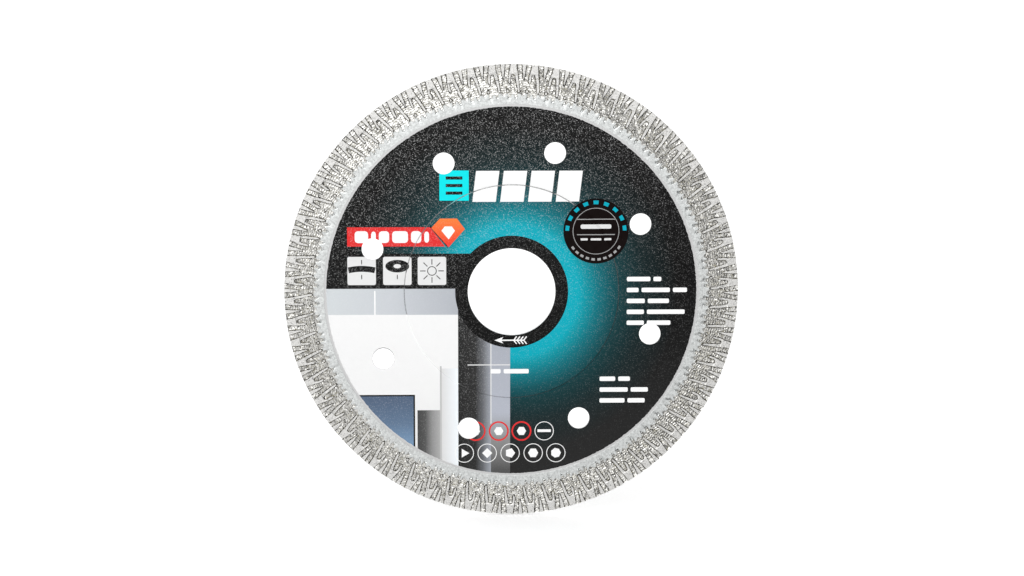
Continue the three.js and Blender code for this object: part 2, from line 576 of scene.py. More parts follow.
def ribbon_and_gem():
    """A red ribbon with plain blocks on it, and an orange gem shape over its end."""
    return [
        art("red", [(-41.5, 11.6), (-16.8, 11.6), (-20.6, 16.5), (-41.5, 16.5)]),
        bars("white", -39.6, 15.5, 3.0, 9, [[3.4, 1.2, 2.6, 4.0, 2.6, 1.2]]),
        art("black", [(-16.2, 11.3), (-20.7, 16.6), (-20.4, 16.8), (-16.0, 11.7)]),
        art("red_orange", [(-15.9, 11.4), (-11.8, 16.0), (-13.8, 18.7), (-18.1, 18.7), (-20.3, 16.3)]),
        art("white", [(-15.9, 13.4), (-14.3, 15.6), (-15.1, 16.7), (-16.9, 16.7), (-17.7, 15.6)]),
    ]


def small_print():
    """Rows of plain bars in place of three blocks of text."""
    sizes = ((6.0, 2.0), (3.0, 7.2, 3.6), (4.6, 5.4), (4.4, 9.6), (4.4, 6.0))
    uses = ((4.0, 3.0), (7.2, 4.4), (6.4, 4.4))
    blocks = ((29.2, 3.7, sizes), (22.4, -21.9, uses), (-5.4, -19.8, ((2.6, 6.4),)))
    return [bars("white", left, top, PRINT_HEIGHT, PRINT_PITCH, rows) for left, top, rows in blocks]


def round_marks():
    """Two rows of ringed marks with plain polygons in them."""
    made = []
    for x in (-9.2, -3.3, 2.5):
        made.append(ring_art(x, UPPER_MARKS, MARK_RADIUS + 0.1, 0.4, "red"))
        made.append(art("white", disc(x, UPPER_MARKS, 1.2, 6)))
    made.append(ring_art(8.3, UPPER_MARKS, MARK_RADIUS, MARK_STROKE, "white"))
    made.append(art("white", box(6.6, -36.2, 10.0, -35.5)))
    for i, x in enumerate((-12.1, -6.25, -0.4, 5.5, 11.3)):
        made.append(ring_art(x, LOWER_MARKS, MARK_RADIUS, MARK_STROKE, "white"))
        made.append(art("white", disc(x, LOWER_MARKS, 1.3, 3 + i)))
    return made


def front_artwork():
    """Every ink area of the front, from the lowest to the highest."""
    step_width = STEP_REACH - FILM_THICKNESS
    return [
        *wall_picture(),
        art("black", box(-PICTURE_EDGE, PICTURE_TOP, -5, 9.8)),
        art("hub", disc(0, 0, HUB_BAND_RADIUS, ROUND_POINTS)),
        *size_icons(),
        *heading(),
        *ribbon_and_gem(),
        *small_print(),
        *round_marks(),
        rotation_arrow("white", -12.4, -4.4, 4.0),
        ring_art(0, 0, FLANGE_RADIUS + STEP_REACH, step_width, "step", WHITE_WALL),
    ]


def step_ink():
    """Thin lacquer over the edge of the flange plate, with the steel shining through."""
    surface = Surface("lacquer_step", Metallic=1.0, Roughness=0.25)
    surface.set("Base Color", surface.mix(surface.noise(0.6, 3.0), grey(120), grey(250)))
    return surface.material


COLUMN_EDGE = (COLUMN_CORNER, 156, 160, 168)
# Each ink's colour or pattern, and how much of the painted flakes' glint shows through it.
INKS = {
    "black": (black, 0.6),
    "hub": (grey(9), 0.5),
    "dark": (grey(30), 0.3),
    "white": (grey(246), 0),
    "icon_white": (grey(226), 0),
    "wall_white": (fade("Z", (-45, 224), (-26, 236), (-8, 239)), 0),
    "wall_grey": (fade("X", (GREY_WALL_LEFT, 216), (COLUMN_LEFT, 240, 245, 249)), 0),
    "tile_band": (fade("X", (-46, 206, 211, 214), (-31, 199, 203, 208), (-14, 177, 181, 188)), 0.3),
    "panel_blue": (fade("Z", (-40, 120, 151, 183), (-34, 96, 118, 144), (-28, 82, 99, 123)), 1.0),
    "shadow": (fade("X", (-24, 66), (-22, 84), (-20.2, 143), (-18.3, 170)), 1.0),
    "shadow_line": (grey(190), 0),
    "column_dark": (fade("X", (COLUMN_LEFT, 37), (-9.2, 46), (-7.4, 98, 100, 104), COLUMN_EDGE), 1.2),
    "column_light": (fade("Z", (-46, 84), (-38, 140), (-31, 177, 181, 192), (-14, 168, 172, 182)), 0.8),
    "hairline": (grey(226), 0),
    "cyan": (colour(12, 226, 232), 0),
    "red": (colour(223, 48, 48), 0.4),
    "red_orange": (fade("Z", (11.4, 234, 48, 48), (18.7, 246, 128, 60)), 0.2),
}


def front_inks():
    """One material for each ink of the front. The first is the ground."""
    made = {"glow": printed("lacquer_glow", glow, 0.6)}
    made |= {ink: printed("ink_" + ink, base, flake_glint) for ink, (base, flake_glint) in INKS.items()}
    made["step"] = step_ink()
    return made


# ---- Printed films, sticker and core ----

# Distances outside the flange plate's edge between which a layer climbs from the core on to the plate.
FILM_BEND = (FILM_THICKNESS, STEP_REACH)
STICKER_BEND = (0.1, 0.8)
# The lacquer's ragged edge: how much of it is missing at most, and its waves in a millimetre.
EDGE_CHIP = 0.2
CHIP_WAVES = 1.9


def numbered(artwork, first):
    """The artwork's outlines, and for each item its ink and the numbers of its outlines and gaps."""
    outlines = []
    areas = []
    for ink, shapes, gaps in artwork:
        start = first + len(outlines)
        middle = start + len(shapes)
        outlines += [*shapes, *gaps]
        areas.append((ink, set(range(start, middle)), set(range(middle, middle + len(gaps)))))
    return outlines, areas


def top_ink(held, areas, ground):
    """The ink of the highest area that a triangle lies in."""
    for ink, shown, hidden in reversed(areas):
        if held & shown and not held & hidden:
            return ink
    return ground


def inked_piece(name, side, rim, holes, bend, artwork, inks, under, thickness):
    """A thin skin whose triangles take the ink of the highest artwork over them.

    The first ink is the ground. Over the core the skin lies at the height under."""
    start, stop = (FLANGE_RADIUS + reach for reach in bend)
    base = under + thickness
    top = base + HALF_HUB - HALF_CORE

    def height(point):
        share = (math.hypot(point[0], point[1]) - start) / (stop - start)
        return top + (base - top) * min(1.0, max(0.0, share))

    bends = [disc(0, 0, radius, ROUND_POINTS) for radius in (start, stop)]
    plain = [rim, *holes, *bends]
    art_outlines, areas = numbered(artwork, len(plain))
    flat, triangles, holders = triangulate(plain + art_outlines)
    hole_ids = set(range(1, 1 + len(holes)))
    inside = [0 in held and not held & hole_ids for held in holders]
    names = list(inks)
    slots = [names.index(top_ink(held, areas, names[0])) for held, kept in zip(holders, inside) if kept]
    flat, triangles = tidy(flat, [triangle for triangle, kept in zip(triangles, inside) if kept])
    points, faces = slab(flat, triangles, side, height, thickness)
    slots += [0] * (len(faces) - len(slots))
    return new_piece(name, points, faces, list(inks.values()), slots)


def film_rim():
    """The lacquer's outer edge, which its mask left a little ragged."""
    outline = []
    for x, z in disc(0, 0, FILM_RADIUS, 3 * ROUND_POINTS):
        chip = EDGE_CHIP * max(0.0, noise.noise(Vector((x, 0, z)) * CHIP_WAVES) + 0.1)
        outline.append((x * (1 - chip / FILM_RADIUS), z * (1 - chip / FILM_RADIUS)))
    return outline


def make_films():
    rim = film_rim()
    inks = front_inks()
    back_inks = {name: inks[name] for name in ("black", "white")}
    back_art = [
        ring_art(0, 0, HUB_BAND_RADIUS, 0.25, "white"),
        ring_art(0, 0, 44.6, 0.3, "white"),
        rotation_arrow("white", -17.5, -4.4, 4.0),
    ]
    front_look = (FILM_BEND, front_artwork(), inks, HALF_CORE, FILM_THICKNESS)
    back_look = (FILM_BEND, back_art, back_inks, HALF_CORE, FILM_THICKNESS)
    front = inked_piece("front_print", FRONT, rim, all_holes(), *front_look)
    back = inked_piece("back_print", BACK, rim, all_holes(), *back_look)
    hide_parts("front_print_film")
    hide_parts("back_print_film")
    return front, back


def sticker_art():
    """A ring, lines and bars in place of lettering, with small blocks all round."""
    x, z = STICKER_CENTRE.x, STICKER_CENTRE.z
    made = [ring_art(x, z, 5.9, 0.16, "silver")]
    for i in range(9):
        made.append(art("teal", sector(x, z, 6.8, 7.75, i * 21 - 89, i * 21 - 79, 3)))
    made += [art("silver", box(x - 4.8, z + low, x + 4.8, z + low + 0.22)) for low in (-1.0, 2.9)]
    made.append(art("white", rounded_box(x - 3.9, z + 0.6, x + 3.9, z + 1.7, 0.4, 3)))
    made.append(bars("white", x - 3.9, z - 1.8, 0.55, 1.5, ((1.8, 2.7, 1.8),)))
    for i in range(10):
        made.append(art("silver", sector(x, z, 6.9, 7.5, 122 + i * 12, 129 + i * 12, 2)))
    return made


def make_sticker():
    inks = {"film": printed("sticker_film", colour(14, 4, 3), roughness=0.5)}
    for ink, base in (("silver", grey(160)), ("white", grey(222)), ("teal", colour(4, 164, 184))):
        inks[ink] = printed("sticker_" + ink, base)
    rim = disc(STICKER_CENTRE.x, STICKER_CENTRE.z, STICKER_RADIUS - 0.02, 96)
    look = (STICKER_BEND, sticker_art(), inks, HALF_CORE + FILM_THICKNESS, STICKER_THICKNESS)
    piece = inked_piece("sticker", FRONT, rim, cooling_holes(), *look)
    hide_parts("round_sticker")
    return piece


def make_core():
    """The steel core with truly round holes."""
    flat, triangles, holders = triangulate([disc(0, 0, CORE_RADIUS, ROUND_POINTS), *all_holes()])
    flat, kept = tidy(flat, [triangle for triangle, held in zip(triangles, holders) if held == {0}])
    points, faces = slab(flat, kept, FRONT, lambda point: HALF_CORE, 2 * HALF_CORE)
    piece = new_piece("steel_core", points, faces, [steel("core_steel", 228)])
    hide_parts("core_plate")
    return piece


# ---- The sintered rim ----

FOOT_INNER = 47.5
# The pattern repeats once in a cell. It is drawn flat, at the width it has on its middle circle. The
# first cell starts MESH_PHASE degrees from the top.
MESH_CELLS = 66
MESH_PHASE = 0.24
CELL_DEGREES = 360 / MESH_CELLS
CELL_WIDTH = math.radians(CELL_DEGREES) * 52.5
# The crystals stand out of the flat ribs. Inside RIB_RADIUS the ribs lie a step deeper.
GRIT_PROUD = 0.03
SURFACE_RADIUS = OUTER_RADIUS - GRIT_PROUD
RIB_RADIUS = 55.15
RIB_STEP = 0.05
RIB_STEP_WIDTH = 0.12
GROOVE_DEPTH = 0.24
LOWEST_FLOOR = 48.6
# Walls: how far they reach from a rib, and how much deeper the groove is at their foot.
WALL_WIDTH = 0.22
WALL_GROOVE = 0.1
WALL_DIP = 0.08
# Over the core the grooves are shallow, because the ring's wall is thin there. They deepen outside it.
FINGER_DEPTH = 0.07
FINGER_START = CORE_RADIUS + 0.1
FINGER_RUN = 1.2
FOOT_SLOPE = 0.2
# Ridges run round the groove floors: their spacing, the share of it that faces outwards, half their
# height, and how far their points are scattered.
RIDGE_STEP = 0.58
RIDGE_LEAN = 0.7
RIDGE_HEIGHT = 0.07
FLOOR_SCATTER = 0.1
FLOOR_RISE = 0.08
# How the ridges wander along a cell, as waves in the cell, their start and their reach.
RIDGE_WAVES = ((1, 0.6, 0.1), (5, 0, 0.13))
# Towards the outer edge the ridges are worn: the share that is gone, from where, and over what width.
RIDGE_WEAR = 0.5
WEAR_START = 53.5
WEAR_WIDTH = 3
# How far the mesh points on the ridges keep from a wall, and those on a rib from its edge.
RIDGE_MARGIN = 0.06
RIB_MARGIN = 0.25
CELL_COLUMNS = 16
BORDER_STEPS = 6
SAME_PLACE = 1e-5
ON_EDGE = 1e-4
# The pressed surface's slow and quick waves: waves in a millimetre, and reach sideways and in height.
SLOW_WAVES = 0.9
SLOW_SWAY = 0.09
SLOW_RISE = 0.16
QUICK_WAVES = 3.1
QUICK_SWAY = 0.05
QUICK_RISE = 0.012
# Broad patches where the grooves are deeper: waves in a millimetre, and the share of the depth.
PATCH_WAVES = 0.09
PATCH_SHARE = 0.9
# The worn outer edge: its most wear, its width, and its slow and quick waves in a millimetre.
EDGE_WEAR = 0.28
EDGE_WIDTH = 0.7
EDGE_WAVES = (1.7, 4.3)
# Diamond crystals: how many on a face and on the outer edge, and half their least and greatest size.
GRIT_PER_SIDE = 5000
EDGE_GRIT = 700
GRIT_SIZES = (0.09, 0.16)
LAND, FLOOR, WALL, FOOT = range(4)

# Outlines of what stands up in one cell, as [share of the cell, radius], clockwise round the rim.
TOOTH = (
    (-0.09, 58.5), (-0.092, 57.3), (-0.115, 56.4), (-0.15, 55.4), (-0.185, 54.3), (-0.2, 53.4),
    (-0.175, 52.8), (-0.135, 52.65), (-0.105, 53.1), (-0.1, 54.4), (-0.06, 54.95), (0.06, 55.05),
    (0.11, 54.8), (0.14, 54.3), (0.275, 50.75), (0.3, 50.5), (0.35, 50.5), (0.37, 50.75),
    (0.27, 54.2), (0.215, 55.6), (0.175, 57.3), (0.17, 58.5),
)
WEDGE = (
    (0.44, 58.5), (0.455, 57.2), (0.502, 55.0), (0.545, 53.5), (0.588, 55.0), (0.635, 57.2), (0.65, 58.5),
)
BUMP = ((0.7, 50.5), (0.705, 50.8), (0.73, 51.05), (0.77, 51.05), (0.795, 50.8), (0.8, 50.5))
# Where the smooth foot ends, over one cell. The grooves run out into it.
FOOT_TOP = (
    (0.05, 49.9), (0.12, 48.9), (0.16, 48.6), (0.25, 48.6), (0.28, 48.9), (0.27, 50.1), (0.4, 50.1),
    (0.46, 49.7), (0.55, 49.4), (0.63, 49.7), (0.68, 50.1), (0.77, 50.1), (0.72, 48.9), (0.76, 48.6),
    (0.87, 48.6), (0.92, 48.9), (0.985, 49.9),
)


def rounded(outline):
    """The outline with each corner cut into two."""
    softer = []
    for i, here in enumerate(outline):
        for other in (outline[i - 1], outline[(i + 1) % len(outline)]):
            softer.append(tuple(h + (o - h) * 0.2 for h, o in zip(here, other)))
    return softer


def laid_flat(outline, cell):
    return [((share + cell) * CELL_WIDTH, radius) for share, radius in outline]


def raised_outlines():
    """The ribs, wedges and bumps of one cell and the cells beside it, laid flat."""
    return [laid_flat(rounded(outline), cell) for cell in (-1, 0, 1) for outline in (TOOTH, WEDGE, BUMP)]


def foot_outline():
    top = [point for cell in (-1, 0, 1) for point in laid_flat(FOOT_TOP, cell)]
    right, left = 2.5 * CELL_WIDTH, -1.5 * CELL_WIDTH
    return top + [(right, 49.9), (right, 46), (left, 46), (left, 49.9)]


def distance_outside(points, shapes):
    """How far each point is outside the shapes; negative inside one."""
    best = np.full(len(points), np.inf)
    inside = np.zeros(len(points), bool)
    for shape in shapes:
        start = np.array(shape)
        stop = np.roll(start, -1, axis=0)
        run = stop - start
        crossings = np.zeros(len(points), int)
        for (ax, ay), (bx, by), (dx, dy) in zip(start, stop, run):
            along = ((points[:, 0] - ax) * dx + (points[:, 1] - ay) * dy) / (dx * dx + dy * dy)
            along = np.clip(along, 0, 1)
            gap = np.hypot(points[:, 0] - ax - along * dx, points[:, 1] - ay - along * dy)
            best = np.minimum(best, gap)
            spans = (ay > points[:, 1]) != (by > points[:, 1])
            if dy:
                crossings += spans & (points[:, 0] < ax + (points[:, 1] - ay) / dy * dx)
        inside |= crossings % 2 == 1
    return np.where(inside, -best, best)


def grown(outline, distance):
    """The outline moved outwards by a distance, with sharp corners trimmed."""
    points = [Vector(p) for p in outline]
    turn = 1 if turns_left(outline) else -1
    moved = []
    for i, here in enumerate(points):
        before = (here - points[i - 1]).normalized()
        after = (points[(i + 1) % len(points)] - here).normalized()
        middle = (before + after).normalized()
        reach = distance / max(0.5, middle.dot(before))
        moved.append(here + turn * reach * Vector((middle.y, -middle.x)))
    return [tuple(p) for p in moved]


def clear_edges(shapes, reach, crosses_ridges=False):
    """The edges of the grown shapes, apart from those that come too near to another shape."""
    edges = []
    for shape in shapes:
        outline = grown(shape, reach) if reach else shape
        edges += zip(outline, outline[1:] + outline[:1])
    if not reach:
        return edges
    middles = np.array([[(a + b) / 2 for a, b in zip(start, stop)] for start, stop in edges])
    clear = distance_outside(middles, shapes) > 0.85 * reach
    kept = [edge for edge, is_clear in zip(edges, clear) if is_clear]
    return [ridged(start, stop) for start, stop in kept] if crosses_ridges else kept


def ridge_wave(x):
    """How far the ridges of the groove floors wander, over one cell."""
    turn = 2 * math.pi * x / CELL_WIDTH
    return sum(reach * math.sin(waves * turn + start) for waves, start, reach in RIDGE_WAVES)


def ridge_rows(low, high):
    """The radii of the tops and bottoms of the ridges, between two radii."""
    first, last = math.floor(low / RIDGE_STEP), math.ceil(high / RIDGE_STEP)
    rows = [(row + share) * RIDGE_STEP for row in range(first, last + 1) for share in (0, RIDGE_LEAN)]
    return [row for row in rows if low < row < high]


def ridge_rise(radius):
    """Height of a ridge, from 1 at its top to -1 at its bottom. Its wide side faces outwards."""
    share = radius / RIDGE_STEP % 1
    if share < RIDGE_LEAN:
        return 1 - 2 * share / RIDGE_LEAN
    return 2 * (share - RIDGE_LEAN) / (1 - RIDGE_LEAN) - 1


def ridged(start, stop):
    """A line with a point wherever it crosses the top or the bottom of a ridge."""
    wave = ridge_wave((start[0] + stop[0]) / 2)
    low, high = sorted((start, stop), key=lambda point: point[1])
    points = [low]
    for row in ridge_rows(low[1] - wave, high[1] - wave):
        share = (row + wave - low[1]) / (high[1] - low[1])
        points.append(tuple(a + (b - a) * share for a, b in zip(low, high)))
    return points + [high]


def smooth_step(share):
    share = min(1.0, max(0.0, share))
    return share * share * (3 - 2 * share)


def surface_drop(point, gap, foot_gap):
    """How far the surface lies below the rim's full thickness, given its gaps to the ribs and the foot."""
    x, radius = point
    if gap <= 0:
        return GRIT_PROUD if radius > RIB_RADIUS else GRIT_PROUD + RIB_STEP
    shallow = FINGER_DEPTH / GROOVE_DEPTH
    depth = GROOVE_DEPTH * (shallow + (1 - shallow) * smooth_step((radius - FINGER_START) / FINGER_RUN))
    groove = depth + WALL_DIP
    worn = 1 - RIDGE_WEAR * smooth_step((radius - WEAR_START) / WEAR_WIDTH)
    floor = depth - RIDGE_HEIGHT * worn * ridge_rise(radius - ridge_wave(x))
    run_out = smooth_step(foot_gap / FOOT_SLOPE)
    if gap < WALL_GROOVE:
        return groove * gap / WALL_GROOVE * run_out
    share = min(1.0, (gap - WALL_GROOVE) / (WALL_WIDTH - WALL_GROOVE))
    return (groove * (1 - share) + floor * share) * run_out


def cell_outline(rows):
    """The cell's own border, with the points that it shares with its neighbours."""
    across = [CELL_WIDTH * i / BORDER_STEPS for i in range(BORDER_STEPS + 1)]
    right = [(CELL_WIDTH, row + ridge_wave(0)) for row in rows]
    left = [(0, radius) for _, radius in reversed(right)]
    inner = [(x, FOOT_INNER) for x in across]
    outer = [(x, SURFACE_RADIUS) for x in reversed(across)]
    return inner + right + outer + left


def cell_lines(raised, foot):
    """The lines along which the surface bends, apart from the ridges."""
    lines = []
    for shapes, groove, reach in ((raised, WALL_GROOVE, WALL_WIDTH), (foot, FOOT_SLOPE / 2, FOOT_SLOPE)):
        lines += clear_edges(shapes, 0) + clear_edges(shapes, groove) + clear_edges(shapes, reach, True)
    steps = (RIB_RADIUS, RIB_RADIUS + RIB_STEP_WIDTH, FOOT_OUTER)
    return lines + [[(-CELL_WIDTH, radius), (2 * CELL_WIDTH, radius)] for radius in steps]


def ridge_points(rows, raised):
    """Points on the tops and bottoms of the ridges, and on the ribs away from their edges."""
    points = []
    for i, row in enumerate(rows):
        for column in range(CELL_COLUMNS):
            x = (column + 0.5 * (i % 2) + 0.25) * CELL_WIDTH / CELL_COLUMNS
            points.append((x, row + ridge_wave(x)))
    points = np.array(points)
    gap = distance_outside(points, raised)
    return points[(gap > WALL_WIDTH + RIDGE_MARGIN) | (gap < -RIB_MARGIN)]


def kinds_of(places, raised, foot):
    """Which of the four metals each place of the surface has."""
    gap = distance_outside(places, raised)
    in_foot = (distance_outside(places, foot) <= FOOT_SLOPE / 4) | (places[:, 1] < CORE_RADIUS + 0.3)
    # WALL is the band within WALL_WIDTH of a rib, which takes the darker painted shade.
    kinds = np.where(in_foot, FOOT, np.where(gap < WALL_WIDTH, WALL, FLOOR))
    kinds[gap <= 0] = LAND
    return kinds


def cell_mesh():
    """One cell of the rim's face: its points laid flat, their drops, its triangles and their kinds."""
    raised = raised_outlines()
    foot = [foot_outline()]
    rows = ridge_rows(LOWEST_FLOOR, SURFACE_RADIUS - 0.2)
    lines = cell_lines(raised, foot)
    flat, triangles, holders = triangulate([cell_outline(rows)], lines, ridge_points(rows, raised))
    flat, kept = tidy(flat, [t for t, held in zip(triangles, holders) if held])
    flat = np.array([tuple(p) for p in flat])
    gap = distance_outside(flat, raised)
    gap[np.abs(gap) < ON_EDGE] = 0
    drops = [surface_drop(*each) for each in zip(flat, gap, distance_outside(flat, foot))]
    middles = flat[np.array(kept)].mean(axis=1)
    kinds = kinds_of(middles, raised, foot)
    return flat, np.array(drops), np.array(kept), kinds, middles[:, 1] > FOOT_OUTER


def rim_sheet(side):
    """The whole patterned face of one side: points, triangles, kinds, and which triangles hold diamond.

    The back is the front turned half a turn about Z."""
    flat, drops, triangles, kinds, outer = cell_mesh()
    seam = np.abs(flat[:, 0] - CELL_WIDTH) < SAME_PLACE
    start = np.abs(flat[:, 0]) < SAME_PLACE
    right = np.flatnonzero(seam)[np.argsort(flat[seam, 1])]
    left = np.flatnonzero(start)[np.argsort(flat[start, 1])]
    own = np.flatnonzero(~seam)
    place = np.empty(len(flat), int)
    place[own] = np.arange(len(own))
    place[right] = place[left] + len(own)
    total = len(own) * MESH_CELLS
    cells = np.arange(MESH_CELLS)[:, None]
    angle = np.radians(MESH_PHASE + (flat[own, 0] / CELL_WIDTH + cells) * CELL_DEGREES).ravel()
    radius = np.tile(flat[own, 1], MESH_CELLS)
    height = HALF_RIM - np.tile(drops[own], MESH_CELLS)
    points = np.stack([radius * np.sin(angle), -height, radius * np.cos(angle)], axis=1)
    if side == BACK:
        points[:, :2] *= -1
    faces = (place[triangles][None] + cells[:, :, None] * len(own)).reshape(-1, 3) % total
    return roughened(points, radius), faces, np.tile(kinds, MESH_CELLS), np.tile(outer, MESH_CELLS)


def roughened(points, radius):
    """The points moved a little, as a pressed surface has it, but not at the rings' borders.

    Points on the groove floors move the most, and the grooves are deeper in some patches than in others.
    Over the core the points stay clear of its face."""
    borders = (FOOT_INNER, FOOT_OUTER, SURFACE_RADIUS)
    held = np.minimum.reduce([np.abs(radius - border) for border in borders])
    freedom = np.clip(held / 0.5, 0, 1)
    depth = HALF_RIM - np.abs(points[:, 1])
    loose = freedom * np.clip((depth - 0.1) / 0.1, 0, 1)
    scatter = chance.uniform(-1, 1, points.shape) * (FLOOR_SCATTER, FLOOR_RISE, FLOOR_SCATTER)
    moved = points + scatter * loose[:, None]
    for i, point in enumerate(points):
        place = Vector(point)
        slow = noise.noise_vector(place * SLOW_WAVES)
        quick = noise.noise_vector(place * QUICK_WAVES)
        sideways = SLOW_SWAY * slow + QUICK_SWAY * quick
        moved[i, 0] += sideways.x * freedom[i]
        moved[i, 2] += sideways.z * freedom[i]
        moved[i, 1] += SLOW_RISE * slow.y * loose[i] + QUICK_RISE * quick.y * freedom[i]
        sunk = PATCH_SHARE * abs(noise.noise(place * PATCH_WAVES)) * depth[i] * freedom[i]
        moved[i, 1] -= math.copysign(sunk, point[1])
    lowest = np.where(radius < CORE_RADIUS + 0.2, HALF_CORE + 0.01, 0)
    moved[:, 1] = np.sign(moved[:, 1]) * np.clip(np.abs(moved[:, 1]), lowest, HALF_RIM)
    return moved


def border(points, radius):
    """The points of a sheet that lie on a circle, in order of their angle."""
    gap = np.abs(np.hypot(points[:, 0], points[:, 2]) - radius)
    on = np.flatnonzero(gap < 2e-4)
    return on[np.argsort(np.arctan2(points[on, 0], points[on, 2]))]


def hoop(radius, y):
    angle = np.linspace(-math.pi, math.pi, 6 * MESH_CELLS, endpoint=False)
    return np.stack([radius * np.sin(angle), np.full(len(angle), y), radius * np.cos(angle)], axis=1)


def stitched(points, first, second):
    """Triangles between two rings of points, given by their indices in order of angle."""

    def turn(ring, i):
        x, _, z = points[ring[i % len(ring)]]
        return math.atan2(x, z) + 2 * math.pi * (i // len(ring))

    faces = []
    i = j = 0
    while i < len(first) or j < len(second):
        a, b = first[i % len(first)], second[j % len(second)]
        if j >= len(second) or (i < len(first) and turn(first, i + 1) < turn(second, j + 1)):
            faces.append((a, b, first[(i + 1) % len(first)]))
            i += 1
        else:
            faces.append((a, b, second[(j + 1) % len(second)]))
            j += 1
    return faces


def worn_edge(points):
    """The points with the blade's outer edge worn unevenly, so that it is never quite round."""
    slow, quick = EDGE_WAVES
    radius = np.hypot(points[:, 0], points[:, 2])
    reach = np.clip((radius - SURFACE_RADIUS + EDGE_WIDTH) / EDGE_WIDTH, 0, 1)
    waves = [noise.noise(Vector(p) * slow) + 0.5 * noise.noise(Vector(p) * quick) for p in points]
    wear = np.maximum(0, waves)
    shrink = 1 - EDGE_WEAR * wear * reach / radius
    return points * np.stack([shrink, np.ones(len(points)), shrink], axis=1)


def ring_solid(name, sheets, diamond, outer_path, inner_path, slots, edge_kind):
    """A closed ring from its two faces and the hoops that join their borders.

    outer_path and inner_path list the hoops as (radius, y), from the front to the back."""
    points = np.zeros((0, 3))
    faces = []
    kinds = []
    borders = {}
    outer_radius, inner_radius = (SURFACE_RADIUS, FOOT_OUTER) if diamond else (FOOT_OUTER, FOOT_INNER)
    for side, (sheet, triangles, sheet_kinds, holds_diamond) in sheets.items():
        chosen = holds_diamond == diamond
        used, place = np.unique(triangles[chosen], return_inverse=True)
        own = sheet[used]
        faces += (place.reshape(-1, 3) + len(points)).tolist()
        kinds += sheet_kinds[chosen].tolist()
        for edge, radius in (("outer", outer_radius), ("inner", inner_radius)):
            borders[side, edge] = border(own, radius) + len(points)
        points = np.concatenate([points, own])
    for edge, path in (("outer", outer_path), ("inner", inner_path)):
        rings = [borders[FRONT, edge]]
        for radius, y in path:
            ring = hoop(radius, y)
            rings.append(np.arange(len(ring)) + len(points))
            points = np.concatenate([points, ring])
        rings.append(borders[BACK, edge])
        for first, second in zip(rings, rings[1:]):
            strip = stitched(points, first, second)
            if edge == "outer":
                strip = [tuple(reversed(face)) for face in strip]
            faces += strip
            kinds += [edge_kind] * len(strip)
    return new_piece(name, worn_edge(points).tolist(), faces, slots, kinds, smooth=True)


def on_surface(sheet, triangles):
    """Random places on a sheet's diamond-bearing faces, evenly spread over its area."""
    corners = sheet[triangles]
    size = np.linalg.norm(np.cross(corners[:, 1] - corners[:, 0], corners[:, 2] - corners[:, 0]), axis=1)
    chosen = chance.choice(len(triangles), GRIT_PER_SIDE, p=size / size.sum())
    return corners[chosen].mean(axis=1)


def on_outer_edge():
    angle = chance.uniform(0, 2 * math.pi, EDGE_GRIT)
    y = chance.uniform(-HALF_CORE, HALF_CORE, EDGE_GRIT)
    return np.stack([SURFACE_RADIUS * np.sin(angle), y, SURFACE_RADIUS * np.cos(angle)], axis=1)


def kept_inside(centres, size):
    """The crystals' centres moved in until the crystals stay inside the blade's full size."""
    limit = HALF_RIM - size
    radius = np.hypot(centres[:, 0], centres[:, 2])
    inwards = np.minimum(1, (OUTER_RADIUS - size) / radius)
    y = np.clip(centres[:, 1], -limit, limit)
    return np.stack([centres[:, 0] * inwards, y, centres[:, 2] * inwards], axis=1)


def crystal_material():
    """Synthetic diamond: dark olive to straw, each crystal its own tone."""
    surface = Surface("diamond_crystal", Roughness=0.12, IOR=2.4)
    surface.set("Base Color", surface.mix(surface.grains(0.3), colour(70, 66, 50), colour(190, 184, 150)))
    return surface.material


def make_grit(sheets):
    """Diamond crystals: octahedra in every attitude, half sunk in the rim's metal."""
    places = [on_surface(sheet, faces[holds]) for sheet, faces, _, holds in sheets.values()]
    centres = np.concatenate([*places, on_outer_edge()])
    size = chance.uniform(*GRIT_SIZES, len(centres))
    centres = kept_inside(centres, size)
    corners = np.concatenate([np.eye(3), -np.eye(3)])
    around = ((0, 1), (1, 3), (3, 4), (4, 0))
    faces = np.array([(a, b, 2) for a, b in around] + [(b, a, 5) for a, b in around])
    attitudes, _ = np.linalg.qr(chance.normal(size=(len(centres), 3, 3)))
    attitudes *= np.linalg.det(attitudes)[:, None, None]
    points = (centres[:, None] + (corners @ attitudes) * size[:, None, None]).reshape(-1, 3)
    faces = (faces + len(corners) * np.arange(len(centres))[:, None, None]).reshape(-1, 3)
    return new_piece("diamond_grit", points.tolist(), faces.tolist(), [crystal_material()])


def make_rim():
    sheets = {side: rim_sheet(side) for side in (FRONT, BACK)}
    slots = [
        sintered("diamond_land", colour(250, 249, 246), grey(124), 0.4, relief=0.03),
        sintered("diamond_floor", colour(251, 250, 246), colour(84, 80, 74), 0.4, roughness=0.34),
        # Painted shade: the wall beside each rib has a darker tone and more dark pores than the floor, for
        # the shade in the groove at the rib's foot.
        sintered("diamond_wall_painted_shade", colour(212, 210, 205), colour(60, 57, 52), 0.48, relief=0.03),
        sintered("foot_metal", colour(246, 249, 248), grey(104), 0.35, relief=0.025, mottle=0.33),
    ]
    edge = [(SURFACE_RADIUS, y) for y in (-0.3, -0.1, 0.1, 0.3)]
    rim = ring_solid("sintered_diamond_rim", sheets, True, edge, [], slots, LAND)
    low, high = -HALF_CORE, HALF_CORE
    slot = [(FOOT_INNER, low), (CORE_RADIUS, low), (CORE_RADIUS, high), (FOOT_INNER, high)]
    foot_ring = ring_solid("sintered_foot_ring", sheets, False, [], slot, slots, FOOT)
    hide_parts("diamond_rim")
    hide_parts("rim_foot_ring")
    return rim, foot_ring, make_grit(sheets)


# ---- Studio ----

